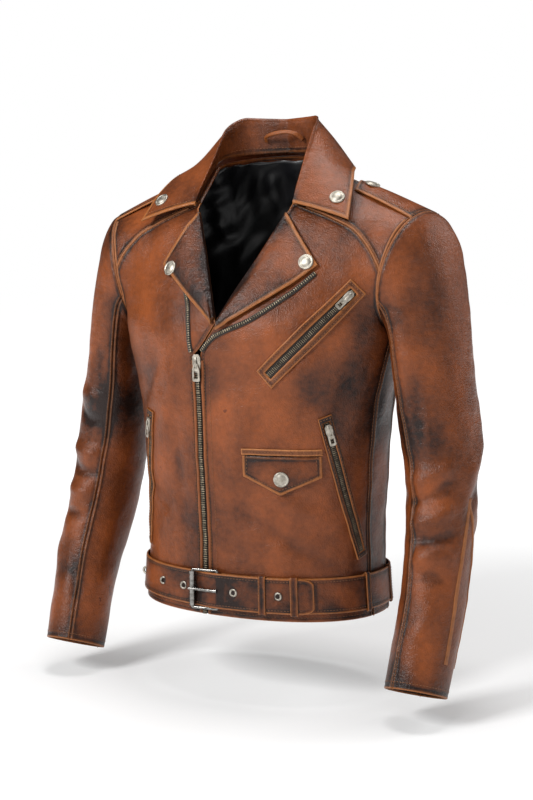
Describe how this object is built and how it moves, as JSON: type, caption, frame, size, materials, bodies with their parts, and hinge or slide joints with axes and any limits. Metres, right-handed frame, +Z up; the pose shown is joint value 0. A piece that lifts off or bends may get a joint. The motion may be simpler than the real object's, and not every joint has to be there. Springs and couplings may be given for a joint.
{
  "type": "leather riding jacket",
  "caption": "Short zipped riding jacket in brown leather, standing as if worn, with collar, lapels, belt, zipped pockets, shoulder straps and swinging sleeves.",
  "frame": {"origin": "middle of the neck base, level with the sides of the neck", "axes": "+X towards the wearer's left, -Y towards the front, +Z up"},
  "size_m": [0.6024, 0.2754, 0.7398],
  "materials": {
    "front_panel_left": "burnished brown, soft sheen",
    "front_yoke_left": "burnished brown, soft sheen",
    "side_panel_left": "burnished brown, soft sheen",
    "lining_front_left": "black satin lining",
    "collar_snap_left": "antique silver, domed",
    "front_panel_right": "burnished brown, soft sheen",
    "front_yoke_right": "burnished brown, soft sheen",
    "side_panel_right": "burnished brown, soft sheen",
    "lining_front_right": "black satin lining",
    "collar_snap_right": "antique silver, domed",
    "back_panel": "burnished brown, soft sheen",
    "back_yoke": "burnished brown, soft sheen",
    "lining_back": "black satin lining",
    "collar_leaf": "burnished brown, soft sheen",
    "collar_stand": "burnished brown, soft sheen",
    "hang_loop": "waxed tan edge",
    "main_zip_chain": "antique silver",
    "lapel_zip_track": "antique silver",
    "front_zip_track": "antique silver",
    "chest_pocket_welt": "waxed tan edge",
    "chest_zip_chain": "antique silver",
    "side_left_pocket_welt": "waxed tan edge",
    "side_left_zip_chain": "antique silver",
    "side_right_pocket_welt": "waxed tan edge",
    "side_right_zip_chain": "antique silver",
    "coin_welt": "waxed tan edge",
    "belt_strap": "burnished brown, soft sheen",
    "belt_loop_front_left": "waxed tan edge",
    "belt_loop_side_left": "waxed tan edge",
    "belt_loop_side_right": "waxed tan edge",
    "belt_loop_back": "waxed tan edge",
    "buckle_frame": "polished, lightly scratched",
    "sleeve_upper_left": "burnished brown, soft sheen",
    "sleeve_under_left": "burnished brown, soft sheen",
    "sleeve_lining_left": "black satin lining",
    "sleeve_upper_right": "burnished brown, soft sheen",
    "sleeve_under_right": "burnished brown, soft sheen",
    "sleeve_lining_right": "black satin lining",
    "lapel_left": "burnished brown, soft sheen",
    "lapel_snap_left": "antique silver, domed",
    "lapel_right": "burnished brown, soft sheen",
    "lapel_snap_right": "antique silver, domed",
    "epaulette_left": "burnished brown, soft sheen",
    "epaulette_snap_left": "antique silver, domed",
    "epaulette_right": "burnished brown, soft sheen",
    "epaulette_snap_right": "antique silver, domed",
    "coin_flap": "burnished brown, soft sheen",
    "coin_snap": "antique silver, domed",
    "main_zip_slider": "antique silver",
    "main_zip_pull": "antique silver",
    "chest_zip_slider": "antique silver",
    "chest_zip_pull": "antique silver",
    "side_left_zip_slider": "antique silver",
    "side_left_zip_pull": "antique silver",
    "side_right_zip_slider": "antique silver",
    "side_right_zip_pull": "antique silver",
    "belt_keeper_inner": "waxed tan edge",
    "belt_keeper_outer": "waxed tan edge",
    "buckle_roller": "polished, lightly scratched",
    "buckle_prong": "polished, lightly scratched"
  },
  "bodies": {
    "shell": {"front_panel_left": "front_panel_left", "front_yoke_left": "front_yoke_left", "side_panel_left": "side_panel_left", "lining_front_left": "lining_front_left", "collar_snap_left": "collar_snap_left", "front_panel_right": "front_panel_right", "front_yoke_right": "front_yoke_right", "side_panel_right": "side_panel_right", "lining_front_right": "lining_front_right", "collar_snap_right": "collar_snap_right", "back_panel": "back_panel", "back_yoke": "back_yoke", "lining_back": "lining_back", "collar_leaf": "collar_leaf", "collar_stand": "collar_stand", "hang_loop": "hang_loop", "main_zip_chain": "main_zip_chain", "lapel_zip_track": "lapel_zip_track", "front_zip_track": "front_zip_track", "chest_pocket_welt": "chest_pocket_welt", "chest_zip_chain": "chest_zip_chain", "side_left_pocket_welt": "side_left_pocket_welt", "side_left_zip_chain": "side_left_zip_chain", "side_right_pocket_welt": "side_right_pocket_welt", "side_right_zip_chain": "side_right_zip_chain", "coin_welt": "coin_welt", "belt_strap": "belt_strap", "belt_loop_front_left": "belt_loop_front_left", "belt_loop_side_left": "belt_loop_side_left", "belt_loop_side_right": "belt_loop_side_right", "belt_loop_back": "belt_loop_back", "buckle_frame": "buckle_frame"},
    "sleeve_left": {"sleeve_upper_left": "sleeve_upper_left", "sleeve_under_left": "sleeve_under_left", "sleeve_lining_left": "sleeve_lining_left"},
    "sleeve_right": {"sleeve_upper_right": "sleeve_upper_right", "sleeve_under_right": "sleeve_under_right", "sleeve_lining_right": "sleeve_lining_right"},
    "lapel_left": {"lapel_left": "lapel_left", "lapel_snap_left": "lapel_snap_left"},
    "lapel_right": {"lapel_right": "lapel_right", "lapel_snap_right": "lapel_snap_right"},
    "epaulette_left": {"epaulette_left": "epaulette_left", "epaulette_snap_left": "epaulette_snap_left"},
    "epaulette_right": {"epaulette_right": "epaulette_right", "epaulette_snap_right": "epaulette_snap_right"},
    "coin_flap": {"coin_flap": "coin_flap", "coin_snap": "coin_snap"},
    "main_slider": {"main_zip_slider": "main_zip_slider"},
    "main_pull": {"main_zip_pull": "main_zip_pull"},
    "chest_slider": {"chest_zip_slider": "chest_zip_slider"},
    "chest_pull": {"chest_zip_pull": "chest_zip_pull"},
    "side_left_slider": {"side_left_zip_slider": "side_left_zip_slider"},
    "side_left_pull": {"side_left_zip_pull": "side_left_zip_pull"},
    "side_right_slider": {"side_right_zip_slider": "side_right_zip_slider"},
    "side_right_pull": {"side_right_zip_pull": "side_right_zip_pull"},
    "belt_keeper_inner": {"belt_keeper_inner": "belt_keeper_inner"},
    "belt_keeper_outer": {"belt_keeper_outer": "belt_keeper_outer"},
    "buckle_roller": {"buckle_roller": "buckle_roller"},
    "buckle_prong": {"buckle_prong": "buckle_prong"}
  },
  "joints": [
    {"name": "sleeve_left_swing", "type": "hinge", "parent": "shell", "child": "sleeve_left", "pos_m": [0.21275, 0.0035, -0.1445], "axis": [-0.9505, 0.237, 0.2008], "range_deg": [-12, 28]},
    {"name": "sleeve_right_swing", "type": "hinge", "parent": "shell", "child": "sleeve_right", "pos_m": [-0.21275, 0.0035, -0.1445], "axis": [-0.9505, -0.237, -0.2008], "range_deg": [-12, 28]},
    {"name": "lapel_left_fold", "type": "hinge", "parent": "shell", "child": "lapel_left", "pos_m": [0.00207, -0.13974, -0.2049], "axis": [-0.3821, -0.4186, -0.8239], "range_deg": [0, 60]},
    {"name": "lapel_right_fold", "type": "hinge", "parent": "shell", "child": "lapel_right", "pos_m": [-0.00207, -0.13974, -0.2049], "axis": [-0.3821, 0.4186, 0.8239], "range_deg": [0, 60]},
    {"name": "epaulette_left_lift", "type": "hinge", "parent": "shell", "child": "epaulette_left", "pos_m": [0.224, 0.001, -0.069], "axis": [0.2469, 0.967, 0.063], "range_deg": [0, 25]},
    {"name": "epaulette_right_lift", "type": "hinge", "parent": "shell", "child": "epaulette_right", "pos_m": [-0.224, 0.001, -0.069], "axis": [0.2469, -0.967, -0.063], "range_deg": [0, 25]},
    {"name": "coin_flap_lift", "type": "hinge", "parent": "shell", "child": "coin_flap", "pos_m": [0.081, -0.119, -0.373], "axis": [-0.9383, -0.3459, 0], "range_deg": [0, 50]},
    {"name": "main_zip_run", "type": "slide", "parent": "shell", "child": "main_slider", "axis": [0, 0.0757, -0.9971], "range_m": [0, 0.13]},
    {"name": "main_pull_swing", "type": "hinge", "parent": "main_slider", "child": "main_pull", "pos_m": [-0.028, -0.13876, -0.25829], "axis": [-1, 0, 0], "range_deg": [0, 70]},
    {"name": "chest_zip_run", "type": "slide", "parent": "shell", "child": "chest_slider", "axis": [-0.5719, -0.4272, -0.7003], "range_m": [0, 0.018]},
    {"name": "chest_pull_swing", "type": "hinge", "parent": "chest_slider", "child": "chest_pull", "pos_m": [0.1596, -0.0883, -0.17254], "axis": [-0.6706, -0.2483, 0.6991], "range_deg": [0, 70]},
    {"name": "side_left_zip_run", "type": "slide", "parent": "shell", "child": "side_left_slider", "axis": [0.1621, 0.2622, -0.9513], "range_m": [0, 0.035]},
    {"name": "side_left_pull_swing", "type": "hinge", "parent": "side_left_slider", "child": "side_left_pull", "pos_m": [0.13853, -0.09169, -0.3414], "axis": [-0.7282, -0.6188, -0.2947], "range_deg": [0, 70]},
    {"name": "side_right_zip_run", "type": "slide", "parent": "shell", "child": "side_right_slider", "axis": [-0.134, 0.1955, -0.9715], "range_m": [0, 0.035]},
    {"name": "side_right_pull_swing", "type": "hinge", "parent": "side_right_slider", "child": "side_right_pull", "pos_m": [-0.12497, -0.10209, -0.3448], "axis": [-0.8109, 0.5418, 0.2209], "range_deg": [0, 70]},
    {"name": "belt_keeper_inner_shift", "type": "slide", "parent": "shell", "child": "belt_keeper_inner", "axis": [0.9812, 0.1932, 0], "range_m": [-0.004, 0.004]},
    {"name": "belt_keeper_outer_shift", "type": "slide", "parent": "shell", "child": "belt_keeper_outer", "axis": [0.9242, 0.3819, 0], "range_m": [-0.004, 0.004]},
    {"name": "buckle_roller_spin", "type": "hinge", "parent": "shell", "child": "buckle_roller", "pos_m": [-0.043, -0.12562, -0.553], "axis": [0, 0, 1], "continuous": true},
    {"name": "buckle_prong_lift", "type": "hinge", "parent": "shell", "child": "buckle_prong", "pos_m": [-0.007, -0.12268, -0.553], "axis": [0, 0, 1], "range_deg": [0, 60]}
  ]
}
